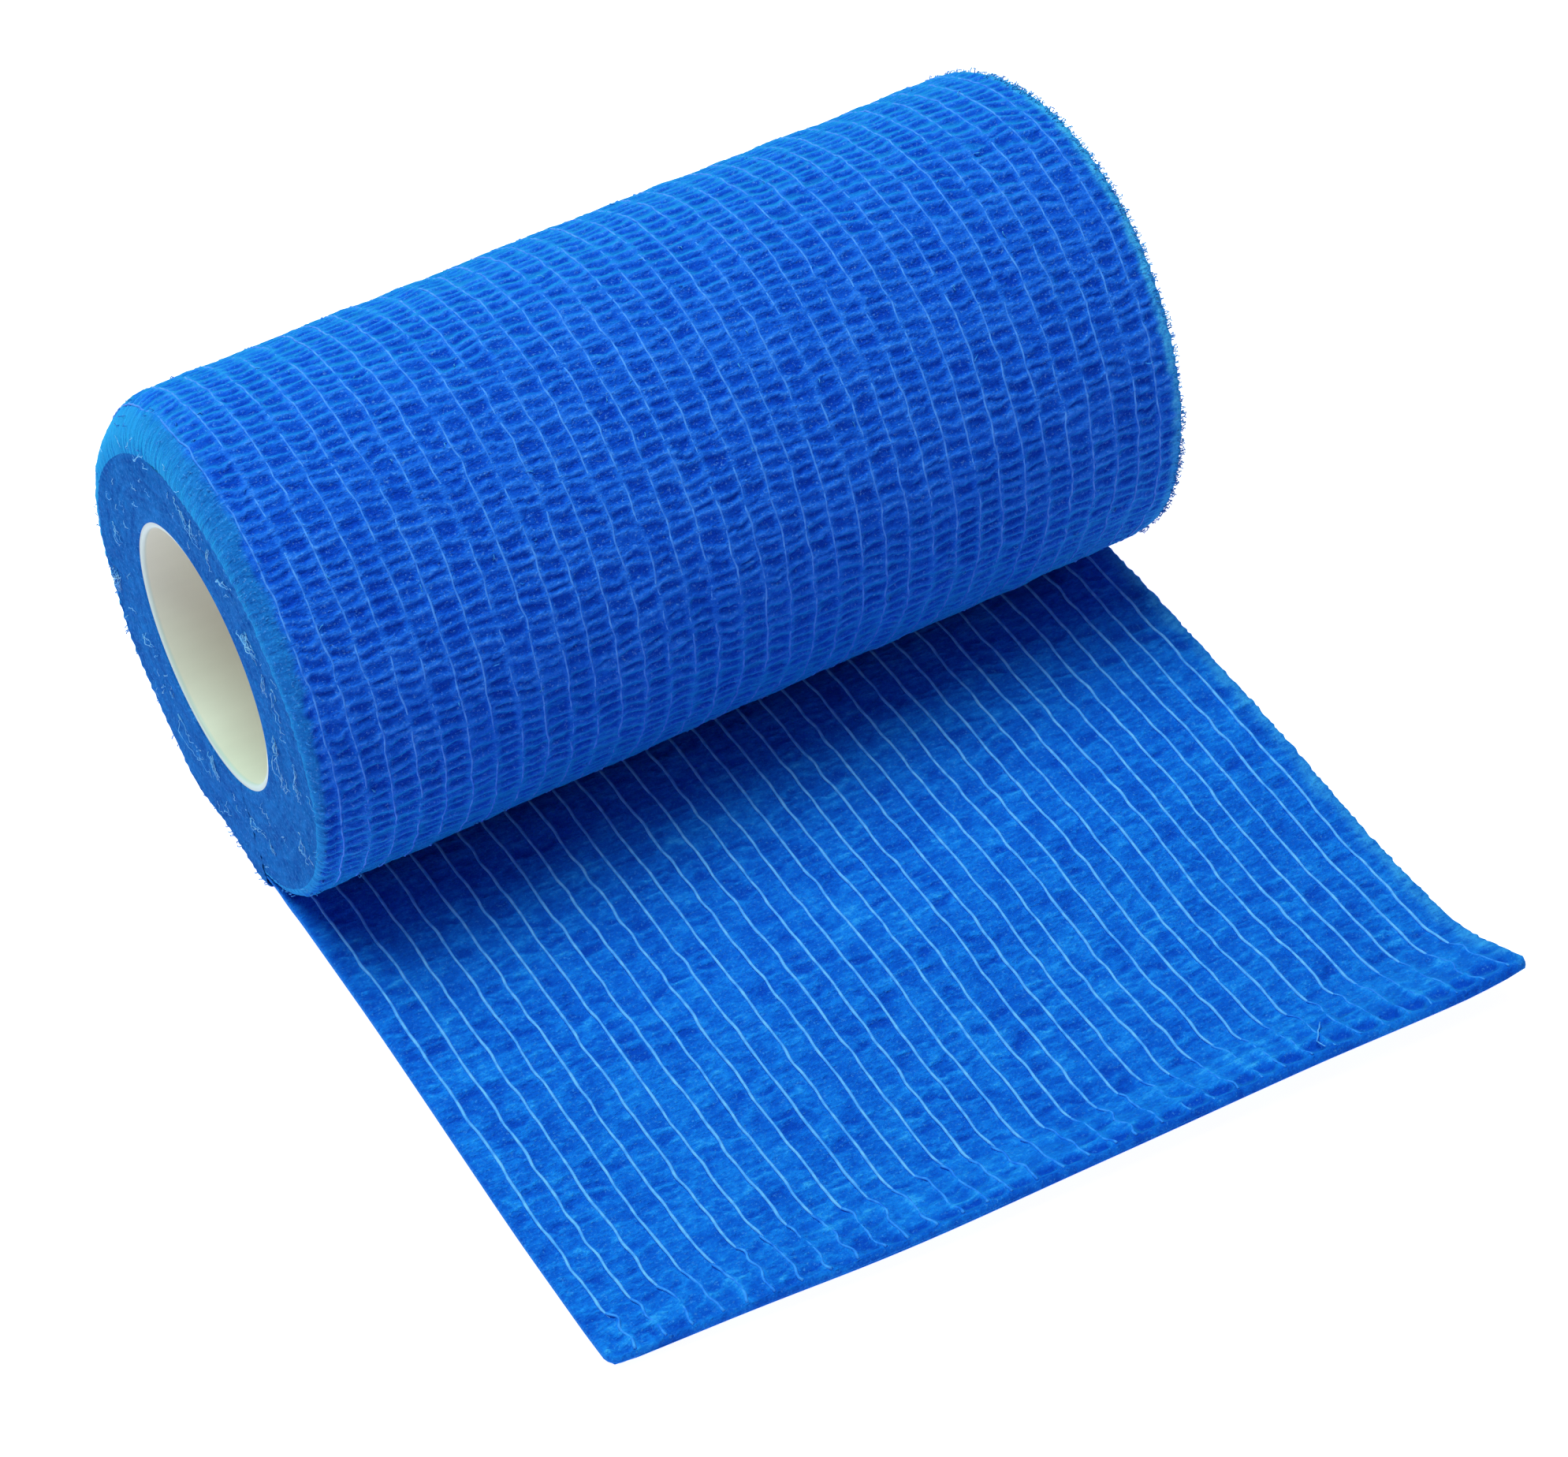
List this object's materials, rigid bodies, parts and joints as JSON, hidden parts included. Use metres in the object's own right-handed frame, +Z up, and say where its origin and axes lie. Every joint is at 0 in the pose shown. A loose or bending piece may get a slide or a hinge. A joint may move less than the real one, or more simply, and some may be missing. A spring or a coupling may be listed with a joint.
{
  "type": "cohesive bandage roll",
  "caption": "Blue crepe cohesive bandage wound on a thin white core tube, lying on its side with its free end laid out in front.",
  "frame": {"origin": "on the resting plane, in the roll's flat spot under the middle of the roll", "axes": "+X along the roll's axis and across the cloth's width, +Y to the back of the roll, away from the free end, +Z up"},
  "size_m": [0.101, 0.1153, 0.0531],
  "materials": {
    "bandage": "matt crepe",
    "core_tube": "matt"
  },
  "bodies": {
    "root": {"bandage": "bandage", "core_tube": "core_tube"}
  },
  "joints": []
}
